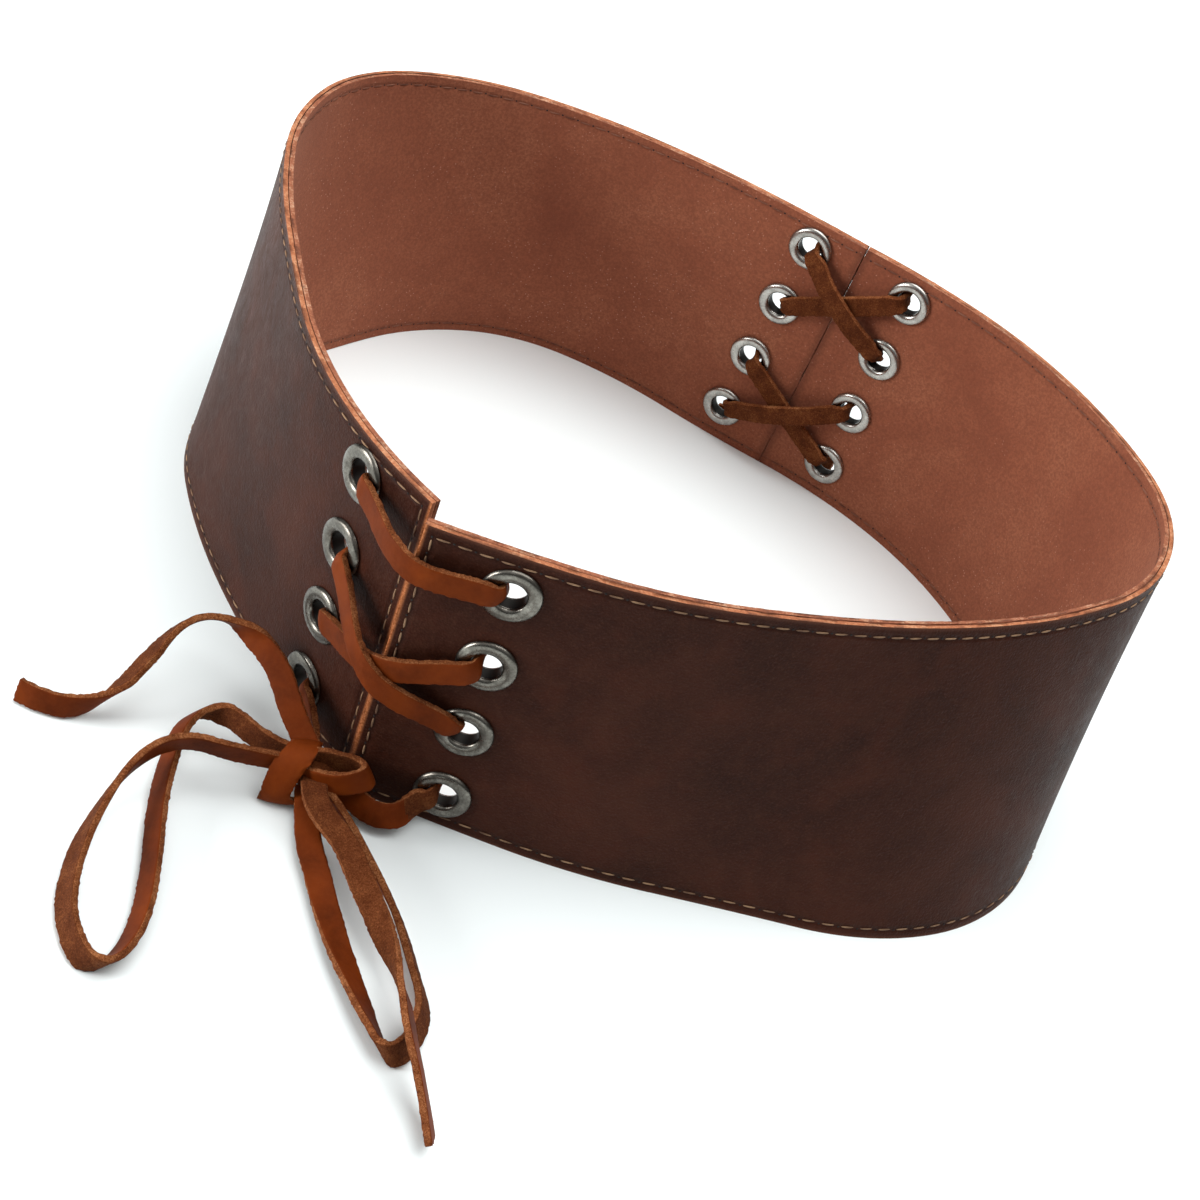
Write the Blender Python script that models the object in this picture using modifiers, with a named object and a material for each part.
"""Laced corset belt of two leather panels, standing on its lower edge, with its bow laid in front.

Metres, +Z up, floor at z = 0, front along -Y. The origin is on the floor, at the middle of the
belt without the loose lengths of lace.
"""
import math

import bmesh
import bpy
from mathutils import Matrix, Vector
from mathutils.geometry import interpolate_bezier

MM = 0.001

# Leather panels
BELT_HEIGHT = 114 * MM
PANEL_EDGE = 482 * MM
OUTER_THICKNESS = 1.6 * MM
LINING_THICKNESS = 1.5 * MM
PLY_GAP = 0.3 * MM
WALL = OUTER_THICKNESS + PLY_GAP + LINING_THICKNESS
FRONT_SEAM = Vector((-0.12282, -0.29948)) * PANEL_EDGE
BACK_SEAM_GAP = 0.3 * MM
STEPS_PER_SECTION = 4
WALL_ROWS = 3

# Grommets
HOLE_RADIUS = 4.9 * MM
BARREL_RADIUS = 5.6 * MM
FLANGE_RADIUS = 9.5 * MM
WASHER_RADIUS = 8.9 * MM
FLANGE_HEIGHT = 1.5 * MM
WASHER_HEIGHT = 1.4 * MM
FLANGE_SEAT = 0.3 * MM
WASHER_SEAT = 0.6 * MM
BARREL_CLEARANCE = 0.4 * MM
GROMMET_SIDES = 12
FIRST_ROW_DROP = 14.3 * MM
LAST_ROW_RISE = 13.7 * MM
ROWS = 4

# Lace
LACE_WIDTH = 8.0 * MM
LACE_THICKNESS = 2.2 * MM
LACE_GAP = 0.4 * MM
LACE_PINCH = 0.74
KNOT_GAP = 2.1 * MM
TIE_GAP = 0.8 * MM
STEPS_PER_SPAN = 2

# Knots: centre and half sizes
BOW_KNOT_CENTRE = FRONT_SEAM.to_3d() + Vector((-7.9, -1.4, 9)) * MM
BOW_KNOT_HALF = Vector((10, 7.5, 7)) * MM
BACK_KNOT_HALF = Vector((7.5, 4.2, 5)) * MM

# Each panel edge starts at the front seam and runs to the back seam. Start and length are shares
# of PANEL_EDGE, the start measured from FRONT_SEAM. side is +1 where the outside is on the right.
EDGES = {
    # name: (start x, start y, first heading in degrees, length)
    "right_top": (0.0, 0.0, 6, 1.0),
    "right_foot": (0.0037, 0.0122, 2, 1.0726),
    "left_top": (-0.0027, 0.0207, 152, 1.0),
    "left_foot": (0.0017, 0.0253, 150, 0.9938),
}
SIDES = {"right": 1, "left": -1}

# Turn of each edge over ten sections, in degrees, positive to the left
BENDS = (
    # share, right top, right foot, left top, left foot
    (0.1, 5.0, 2.0, -17.0, -11.5),
    (0.1, 14.0, 11.0, -16.0, -7.0),
    (0.1, 7.0, -1.5, -3.0, -11.0),
    (0.1, 9.0, 26.5, -9.0, -32.5),
    (0.1, 12.0, 34.0, -24.0, -21.5),
    (0.1, 32.0, 27.0, -40.5, -6.5),
    (0.1, 37.5, 17.5, -27.5, -24.5),
    (0.1, 17.0, 15.0, -13.5, -34.5),
    (0.1, 19.0, 21.0, -9.0, -15.5),
    (0.1, 12.5, 17.0, -5.5, 5.5),
)
EDGE_COLUMN = {"right_top": 1, "right_foot": 2, "left_top": 3, "left_foot": 4}

# Columns of grommets: distance of the column from its seam, height added to every row, and how
# far the top row leans towards the seam against the bottom row
COLUMNS = {
    # name: (panel, seam, inset, lift, lean)
    "front_right": ("right", "front", 29 * MM, 0.0, 0.0),
    "front_left": ("left", "front", 29 * MM, 1.4 * MM, 0.0),
    "back_right": ("right", "back", 24 * MM, 3 * MM, 0.0),
    "back_left": ("left", "back", 22 * MM, 3 * MM, 4 * MM),
}

# Free stretches of the front lace, from the knot outwards: millimetres from BOW_ORIGIN. The last
# two columns lean the lace's width from upright towards +X and +Y.
BOW_ORIGIN = FRONT_SEAM.to_3d() + Vector((53.1, 73.6, 0.2)) * MM
BOW_ROUTES = {
    "bow_loop_left": (
        (-80, -75, 12, 0.7, 0),
        (-89, -72, 12, 0.7, 0),
        (-97.5, -71.5, 10.5, 0.7, 0),
        (-102, -78.5, 8.5, 0.7, 0),
        (-101, -91.5, 6.5, 0.7, 0),
        (-96, -111, 5.5, 0.7, 0),
        (-88.5, -131.5, 5, 0.7, 0),
        (-83, -150.5, 4.6, 0.7, 0),
        (-82.5, -165, 4.3, 0.7, 0),
        (-87, -171.5, 4.2, 0.7, 0),
        (-94.5, -168, 4.2, 0.7, 0),
        (-103, -156, 4.6, 0.7, 0),
        (-108, -139, 6, 0.7, 0),
        (-109, -124, 9, 0.4, 0),
        (-107.5, -108.5, 12.8, 0.2, -0.2),
        (-102.5, -97.5, 15.2, 0, -0.4),
        (-95, -91, 15.4, 0, -0.3),
        (-84, -87.5, 14.5, 0, -0.2),
    ),
    "bow_loop_lower": (
        (-51.5, -99.5, 5.4, -0.7, 0),
        (-42, -113.5, 4.8, -0.7, 0),
        (-38, -119.5, 4.6, -0.7, 0),
        (-29, -132, 4.4, -0.7, 0),
        (-18, -145, 4.3, -0.7, 0),
        (-9, -155, 4.2, -0.7, 0),
        (-3, -159.5, 4.3, -0.7, 0),
        (1, -153, 4.3, -0.7, 0),
        (0.5, -140.5, 4.3, -0.7, 0),
        (-7, -128, 4.6, -0.7, 0),
        (-18, -112.5, 5.2, -0.7, 0),
        (-30.5, -99.5, 6, -0.7, 0),
        (-41, -89.5, 6.5, -0.7, 0),
    ),
    "bow_end_left": (
        (-74.5, -64.5, 19, 1.6, 0.8),
        (-83, -56, 23, 1.6, 0.6),
        (-93.5, -50, 26, 1.2, 0.2),
        (-103, -47.5, 27, 0.6, -0.8),
        (-112, -50, 26, 0, -1.3),
        (-118, -56.5, 22, 0.5, -0.8),
        (-121.5, -66, 16, 1, -0.3),
        (-125, -76.5, 10, 0.9, -0.2),
        (-130, -83.5, 6, 0.4, 0),
        (-137, -88.5, 4.6, 0, 0.2),
        (-145, -90, 4.2, 0, 0.3),
        (-152.5, -89.5, 4.1, 0, 0.3),
    ),
    "bow_end_lower": (
        (-52.5, -93, 13.2, 0, 0),
        (-40.5, -102, 12.8, 0, 0),
        (-29, -115, 12.6, 0, 0),
        (-19, -127, 12.6, 0, 0),
        (-10, -139.5, 12.8, 0, 0),
        (-3.5, -150, 13, 0, 0),
        (1.5, -159, 12.8, 0, 0),
        (7, -166, 9.5, 0, 0),
        (12, -172.5, 6, 0, 0),
        (17, -181, 4.3, 0, 0),
    ),
}

# Where each free stretch meets the knot: direction from the knot's centre, and the lean of the
# lace's width there. A loop has two ports.
BOW_PORTS = {
    # name: ((x, y, z, lean x, lean y), ...)
    "bow_loop_left": ((-10, 1, 3, 0.7, 0), (-9, -6, 3.5, 0, -0.2)),
    "bow_loop_lower": ((2, -10, -4, -0.7, 0), (9, -6, -2, -0.7, 0)),
    "bow_end_left": ((-4, 4, 7, 1.6, 0.8),),
    "bow_end_lower": ((3, -8, 3.5, 0, 0),),
}

# Held stretch of the lace between the lowest right grommet and the knot, in rows of the same kind
RIGHT_TIE = (
    (-31.5, -77, 9.2, 0, 0),
    (-38.5, -79, 8.2, 0, 0),
)
RIGHT_TIE_PORT = (10, 0.5, 0.5, 0, 0)
LEFT_TIE = ((-66.5, -62, 11.5, 0, 0),)
LEFT_TIE_PORT = (-3, 10, 1, 0, 0)

# How the lace runs through a seam's eight grommets, from its left tie to its right tie
LACING = (
    # from side, row, to side, row, inside the wall, over the strand that it crosses
    ("left", 3, "right", 2, True, True),
    ("right", 2, "left", 1, False, True),
    ("left", 1, "right", 0, True, False),
    ("right", 0, "left", 0, False, False),
    ("left", 0, "right", 1, True, True),
    ("right", 1, "left", 2, False, False),
    ("left", 2, "right", 3, True, False),
)
SEAM_FLAT = 8.5 * MM
CORNER_TURNS = (0, 27, 54)
CORNER_LEAD = 6 * MM
CORNER_TRAIL = 10 * MM

# How a lace turns through a hole: distance from the hole's centre, height over the flange or the
# washer, both of the lace's middle, and the share of its full width
LIP = (
    (6.8 * MM, 1.5 * MM, 1.0),
    (4.3 * MM, 1.3 * MM, 0.9),
    (2.5 * MM, -0.2 * MM, LACE_PINCH),
)
HOLE_REACH = 2.2 * MM

# Short ends of the back lace: a direction for the knot's port, then points from its centre
BACK_KNOT_STAND_OFF = 1.5 * MM
BACK_TAILS = {
    "back_end_left": (
        (-7, 5, -3),
        (-12, 7, -6, 0, 0),
        (-15, 8, -9, 0, 0),
        (-20, 8.5, -11.5, 0, 0),
        (-27, 8, -12.2, 0, 0),
    ),
    "back_end_right": (
        (7, 5, -3),
        (12, 6.5, -6, 0, 0),
        (15, 7, -9, 0, 0),
        (20, 6.5, -11.5, 0, 0),
        (28, 4, -12.2, 0, 0),
    ),
}


def arc_step(point, heading, length, turn):
    """End point and heading after one arc of the given length and turn."""
    chord = length if abs(turn) < 1e-6 else length * math.sin(turn / 2) / (turn / 2)
    middle = heading + turn / 2
    step = Vector((math.cos(middle), math.sin(middle))) * chord
    return point + step, heading + turn


def edge_point(edge, share):
    """Plan point and heading on a panel's edge at a share of its length."""
    start_x, start_y, first, length = EDGES[edge]
    point = FRONT_SEAM + Vector((start_x, start_y)) * PANEL_EDGE
    heading = math.radians(first)
    left = share
    for row in BENDS:
        part = min(left / row[0], 1.0)
        turn = math.radians(row[EDGE_COLUMN[edge]]) * part
        point, heading = arc_step(point, heading, PANEL_EDGE * length * row[0] * part, turn)
        left -= row[0]
        if left <= 1e-9:
            break
    return point, heading


def wall_point(panel, share, level, depth=0.0):
    """Point on a panel: share along it, level 0 at the foot to 1 at the top, depth inwards."""
    ends = []
    for edge in ("_foot", "_top"):
        point, heading = edge_point(panel + edge, share)
        outward = Vector((math.sin(heading), -math.cos(heading))) * SIDES[panel]
        ends.append(point - outward * depth)
    plan = ends[0].lerp(ends[1], level)
    return Vector((plan.x, plan.y, BELT_HEIGHT * level))


def wall_frame(panel, share, level):
    """Directions along the panel away from its front seam, up it, and out of it."""
    step = 0.004
    along = wall_point(panel, share + step, level) - wall_point(panel, share - step, level)
    upward = wall_point(panel, share, level + step) - wall_point(panel, share, level - step)
    outward = along.cross(upward) * SIDES[panel]
    return along.normalized(), upward.normalized(), outward.normalized()


def row_height(row, lift=0.0):
    """Height of a row of grommets, row 0 on top."""
    pitch = (BELT_HEIGHT - FIRST_ROW_DROP - LAST_ROW_RISE) / (ROWS - 1)
    return BELT_HEIGHT - FIRST_ROW_DROP - pitch * row + lift


def grommet_frame(column, row):
    """Centre on the outer face, direction towards the seam, and outward normal."""
    panel, seam, inset, lift, lean = COLUMNS[column]
    reach = inset - lean * (0.5 - row / (ROWS - 1))
    share = reach / PANEL_EDGE
    if seam == "back":
        share = 1 - share
    level = row_height(row, lift) / BELT_HEIGHT
    along, upward, outward = wall_frame(panel, share, level)
    towards = along if seam == "back" else -along
    return wall_point(panel, share, level), towards, outward


def material(name, colour, roughness, metallic=0.0):
    """Principled material with a plain colour."""
    made = bpy.data.materials.new(name)
    made.use_nodes = True
    shader = made.node_tree.nodes["Principled BSDF"]
    shader.inputs["Base Color"].default_value = (*colour, 1.0)
    shader.inputs["Roughness"].default_value = roughness
    shader.inputs["Metallic"].default_value = metallic
    made.diffuse_color = (*colour, 1.0)
    return made


def add_object(name, build, finish):
    """Object made from a bmesh."""
    mesh = bpy.data.meshes.new(name)
    build.to_mesh(mesh)
    build.free()
    made = bpy.data.objects.new(name, mesh)
    bpy.context.scene.collection.objects.link(made)
    if finish:
        mesh.materials.append(finish)
    return made


def sheet(name, place, columns, rows, finish):
    """Closed solid between place(u, v, 0) and place(u, v, 1), from an extruded grid."""
    build = bmesh.new()
    bmesh.ops.create_grid(build, x_segments=columns, y_segments=rows, size=1.0)
    shares = [((vert.co.x + 1) / 2, (vert.co.y + 1) / 2) for vert in build.verts]
    grown = bmesh.ops.extrude_face_region(build, geom=build.faces[:])
    second = [item for item in grown["geom"] if isinstance(item, bmesh.types.BMVert)]
    second_shares = [((vert.co.x + 1) / 2, (vert.co.y + 1) / 2) for vert in second]
    first = [vert for vert in build.verts if vert not in set(second)]
    for side, verts, places in ((0, first, shares), (1, second, second_shares)):
        for vert, (u, v) in zip(verts, places):
            vert.co = place(u, v, side)
    bmesh.ops.recalc_face_normals(build, faces=build.faces)
    if build.calc_volume(signed=True) < 0:
        bmesh.ops.reverse_faces(build, faces=build.faces)
    return add_object(name, build, finish)


def hole_cutters(panel):
    """Collection of cylinders, one through the wall at each grommet of a panel."""
    holes = bpy.data.collections.new(panel + "_holes")
    bpy.context.scene.collection.children.link(holes)
    for column, (owner, *_) in COLUMNS.items():
        if owner != panel:
            continue
        for row in range(ROWS):
            centre, towards, outward = grommet_frame(column, row)
            build = bmesh.new()
            bmesh.ops.create_cone(
                build, cap_ends=True, segments=GROMMET_SIDES,
                radius1=BARREL_RADIUS + BARREL_CLEARANCE,
                radius2=BARREL_RADIUS + BARREL_CLEARANCE, depth=WALL * 3)
            mesh = bpy.data.meshes.new("cutter")
            build.to_mesh(mesh)
            build.free()
            cutter = bpy.data.objects.new(f"cutter_{column}_{row + 1}", mesh)
            cutter.matrix_world = frame_matrix(centre - outward * WALL / 2, towards, outward)
            cutter.hide_render = True
            cutter.display_type = "WIRE"
            holes.objects.link(cutter)
    return holes


def frame_matrix(centre, across, outward):
    """Placement with local Z outward and local X across."""
    side = outward.cross(across).normalized()
    across = side.cross(outward)
    turn = Matrix((across, side, outward)).transposed()
    return Matrix.Translation(centre) @ turn.to_4x4()


def leather_panel(panel, leather, suede):
    """Outer leather and lining of one panel, both with its grommet holes."""
    holes = hole_cutters(panel)
    columns = STEPS_PER_SECTION * len(BENDS)
    reach = 1 - BACK_SEAM_GAP / PANEL_EDGE
    layers = (
        ("outer", 0.0, OUTER_THICKNESS, leather),
        ("lining", OUTER_THICKNESS + PLY_GAP, LINING_THICKNESS, suede),
    )
    for layer, depth, thickness, finish in layers:
        made = sheet(
            f"{panel}_{layer}",
            lambda u, v, side: wall_point(panel, u * reach, v, depth + side * thickness),
            columns, WALL_ROWS, finish)
        cut = made.modifiers.new("Grommet holes", "BOOLEAN")
        cut.operation = "DIFFERENCE"
        cut.solver = "EXACT"
        cut.operand_type = "COLLECTION"
        cut.collection = holes


def grommet_profile():
    """Closed half section of a set grommet: radius, height over the panel's outer face."""
    seat_out = FLANGE_SEAT
    seat_in = -WALL - WASHER_SEAT
    top = seat_out + FLANGE_HEIGHT
    bottom = seat_in - WASHER_HEIGHT
    round_off = 0.6 * MM
    return (
        (HOLE_RADIUS, top - round_off),
        (HOLE_RADIUS + 1.6 * MM, top),
        (FLANGE_RADIUS, seat_out),
        (BARREL_RADIUS, seat_out),
        (BARREL_RADIUS, seat_in),
        (WASHER_RADIUS, seat_in),
        (HOLE_RADIUS + 1.6 * MM, bottom),
        (HOLE_RADIUS, bottom + round_off),
    )


def grommet(column, row, metal):
    """One grommet: its half section turned by a Screw modifier."""
    build = bmesh.new()
    verts = [build.verts.new((radius, 0, height)) for radius, height in grommet_profile()]
    for index, vert in enumerate(verts):
        build.edges.new((vert, verts[(index + 1) % len(verts)]))
    made = add_object(f"{column}_grommet_{row + 1}", build, metal)
    turned = made.modifiers.new("Turned", "SCREW")
    turned.steps = GROMMET_SIDES
    turned.render_steps = GROMMET_SIDES
    turned.use_merge_vertices = True
    turned.merge_threshold = 0.00001
    centre, towards, outward = grommet_frame(column, row)
    made.matrix_world = frame_matrix(centre, towards, outward)
    return made


def smooth(points, steps):
    """Samples and share indices of a smooth curve through the points."""
    count = len(points)
    tangents = []
    for index in range(count):
        before = points[max(index - 1, 0)]
        after = points[min(index + 1, count - 1)]
        tangents.append((after - before).normalized())
    samples = [(points[0], 0.0)]
    for index in range(count - 1):
        first, last = points[index], points[index + 1]
        reach = (last - first).length / 3
        curve = interpolate_bezier(
            first, first + tangents[index] * reach,
            last - tangents[index + 1] * reach, last, steps + 1)
        samples += [(point, index + (k + 1) / steps) for k, point in enumerate(curve[1:])]
    return samples


def lace_strip(name, controls, finish):
    """Flat lace through controls of (point, direction of its width, share of its full width)."""
    samples = smooth([control[0] for control in controls], STEPS_PER_SPAN)
    sections = []
    for index, (point, place) in enumerate(samples):
        before = samples[max(index - 1, 0)][0]
        after = samples[min(index + 1, len(samples) - 1)][0]
        travel = (after - before).normalized()
        low = min(int(place), len(controls) - 2)
        ruling = controls[low][1].lerp(controls[low + 1][1], place - low).normalized()
        pinch = controls[low][2] + (controls[low + 1][2] - controls[low][2]) * (place - low)
        across = ruling.cross(travel)
        face = across.normalized() * LACE_THICKNESS / 2
        sections.append((point, ruling * LACE_WIDTH / 2 * pinch / across.length, face))
    last = len(sections) - 1

    def place_vert(u, v, side):
        point, reach, face = sections[round(u * last)]
        return point + reach * (2 * v - 1) + face * (2 * side - 1)

    return sheet(name, place_vert, last, 1, finish)


def leaning(rows, origin):
    """Controls of a lace laid by rows of x, y, z from an origin and the lean of its width."""
    return [
        (origin + Vector(row[:3]) * MM, Vector((*row[3:], 1.0)).normalized(), 1.0) for row in rows]


def knot_port(centre, half, row, gap):
    """Point a gap away from a knot's surface, in a row's direction."""
    direction = Vector(row[:3]).normalized()
    scaled = Vector((direction.x / half.x, direction.y / half.y, direction.z / half.z))
    return centre + direction * (1 / scaled.length + gap)


def bow_port(row, gap):
    """Control where a lace meets the bow's knot."""
    point = knot_port(BOW_KNOT_CENTRE, BOW_KNOT_HALF, row, gap)
    return (point, Vector((*row[3:], 1.0)).normalized(), 1.0)


def knot(name, centre, half, finish):
    """Closed lump of a tied knot."""
    build = bmesh.new()
    bmesh.ops.create_uvsphere(build, u_segments=12, v_segments=8, radius=1.0)
    for vert in build.verts:
        vert.co = Vector((vert.co.x * half.x, vert.co.y * half.y, vert.co.z * half.z))
    made = add_object(name, build, finish)
    made.location = centre
    return made


def lip(centre, direction, outward, inside):
    """Controls over one lip of a grommet, from beside the hole to inside it."""
    face = -outward if inside else outward
    rise = WALL + WASHER_SEAT + WASHER_HEIGHT if inside else FLANGE_SEAT + FLANGE_HEIGHT
    ruling = upright(outward.cross(direction))
    return [
        (centre + direction * reach + face * (rise + height), ruling, pinch)
        for reach, height, pinch in LIP]


def upright(ruling):
    """The same line, with its upper end first."""
    return ruling.normalized() * (1 if ruling.z > 0 else -1)


def through_hole(column, row, came_from, goes_to, goes_inside):
    """Controls of the lace through a grommet, from one side of the wall to the other."""
    centre, towards, outward = grommet_frame(column, row)
    flat = []
    for other in (came_from, goes_to):
        offset = other - centre
        flat.append((offset - outward * offset.dot(outward)).normalized())
    shift = (flat[0] + flat[1]).normalized()
    middle = centre + shift * HOLE_REACH - outward * WALL / 2
    entry = lip(centre, flat[0], outward, not goes_inside)
    leave = lip(centre, flat[1], outward, goes_inside)
    return entry + [(middle, upright(outward.cross(shift)), LACE_PINCH)] + leave[::-1]


def seam_crossing(seam, first, last, inside, over):
    """Controls of a strand where it crosses the seam between two grommets."""
    frames = [grommet_frame(f"{seam}_{side}", row) for side, row in (first, last)]
    outward = (frames[0][2] + frames[1][2]).normalized()
    stack = (LACE_THICKNESS + LACE_GAP) if over else 0.0
    if seam == "front" and not inside:
        return front_corner(frames[0][0], frames[1][0], first[0], stack)
    face = -outward if inside else outward
    rise = WALL + WASHER_SEAT + WASHER_HEIGHT if inside else FLANGE_SEAT + FLANGE_HEIGHT
    run = (frames[1][0] - frames[0][0]).normalized()
    middle = (frames[0][0] + frames[1][0]) / 2
    lifted = middle + face * (rise + LACE_GAP + LACE_THICKNESS / 2 + stack)
    ruling = upright(outward.cross(run))
    return [(lifted + run * side * SEAM_FLAT, ruling, 1.0) for side in (-1, 1)]


def front_corner(start, end, first_side, stack):
    """Controls round the front edge of the right panel, from one grommet centre to the other."""
    flip = first_side == "left"
    right, left = (end, start) if flip else (start, end)
    edge = wall_point("right", 0, 0.5)
    reach = [(corner - edge).xy.length for corner in (right, left)]
    slope = (right.z - left.z) / sum(reach)
    height = right.z - slope * reach[0]
    along, _, outward = wall_frame("right", 0.005, height / BELT_HEIGHT)
    edge = wall_point("right", 0, height / BELT_HEIGHT)
    edge.z = height
    radius = LACE_THICKNESS / 2 + LACE_GAP + stack
    along = Vector((along.x, along.y, 0)).normalized()
    outward = Vector((outward.x, outward.y, 0)).normalized()
    up = Vector((0, 0, 1))
    found = [edge + along * CORNER_LEAD + outward * radius + up * slope * CORNER_LEAD]
    for turn in CORNER_TURNS:
        angle = math.radians(turn)
        spoke = outward * math.cos(angle) - along * math.sin(angle)
        found.append(edge + spoke * radius - up * slope * radius * angle)
    leaving = -outward * math.sin(angle) - along * math.cos(angle)
    found.append(found[-1] + (leaving - up * slope) * CORNER_TRAIL)
    controls = [(point, up, 1.0) for point in found]
    return controls[::-1] if flip else controls


def laced_seam(seam, left_tie, right_tie):
    """Controls of a whole lace through one seam, between its two ties."""
    controls = list(left_tie)
    came_from = left_tie[-1][0]
    for side, row, next_side, next_row, inside, over in LACING:
        ahead = grommet_frame(f"{seam}_{next_side}", next_row)[0]
        controls += through_hole(f"{seam}_{side}", row, came_from, ahead, inside)
        controls += seam_crossing(seam, (side, row), (next_side, next_row), inside, over)
        came_from = grommet_frame(f"{seam}_{side}", row)[0]
    side, row = LACING[-1][2:4]
    controls += through_hole(f"{seam}_{side}", row, came_from, right_tie[0][0], False)
    return controls + list(right_tie)


def front_lacing(finish):
    """Held part of the front lace, its knot and the free stretches of the bow."""
    left_tie = [bow_port(LEFT_TIE_PORT, TIE_GAP), *leaning(LEFT_TIE, BOW_ORIGIN)]
    right_tie = [*leaning(RIGHT_TIE, BOW_ORIGIN), bow_port(RIGHT_TIE_PORT, TIE_GAP)]
    lace_strip("front_lace", laced_seam("front", left_tie, right_tie), finish)
    knot("bow_knot", BOW_KNOT_CENTRE, BOW_KNOT_HALF, finish)
    for name, rows in BOW_ROUTES.items():
        ports = [bow_port(row, KNOT_GAP) for row in BOW_PORTS[name]]
        lace_strip(name, [ports[0], *leaning(rows, BOW_ORIGIN), *ports[1:]], finish)


def back_lacing(finish):
    """Back lace, tied off in a knot with two short ends outside the back seam."""
    level = row_height(ROWS - 1, COLUMNS["back_right"][3]) / BELT_HEIGHT
    outward = wall_frame("right", 0.995, level)[2]
    centre = wall_point("right", 1, level) + outward * (BACK_KNOT_HALF.y + BACK_KNOT_STAND_OFF)
    up = Vector((0, 0, 1))
    across = outward.cross(up).normalized()
    left_port, right_port = [
        (knot_port(centre, BACK_KNOT_HALF, across * sign, TIE_GAP), up, 1.0) for sign in (-1, 1)]
    lace_strip("back_lace", laced_seam("back", [left_port], [right_port]), finish)
    knot("back_knot", centre, BACK_KNOT_HALF, finish)
    for name, rows in BACK_TAILS.items():
        port = (knot_port(centre, BACK_KNOT_HALF, rows[0], KNOT_GAP), up, 1.0)
        lace_strip(name, [port, *leaning(rows[1:], centre)], finish)


def build_belt():
    """Everything, in the world's frame."""
    for old in list(bpy.data.objects):
        bpy.data.objects.remove(old)
    leather = material("smooth_leather", (0.075, 0.032, 0.020), 0.45)
    suede = material("suede", (0.24, 0.085, 0.045), 0.9)
    metal = material("antique_nickel", (0.55, 0.53, 0.49), 0.3, 1.0)
    thong = material("lace_leather", (0.21, 0.055, 0.016), 0.6)
    for panel in SIDES:
        leather_panel(panel, leather, suede)
    for column in COLUMNS:
        for row in range(ROWS):
            grommet(column, row, metal)
    front_lacing(thong)
    back_lacing(thong)


build_belt()
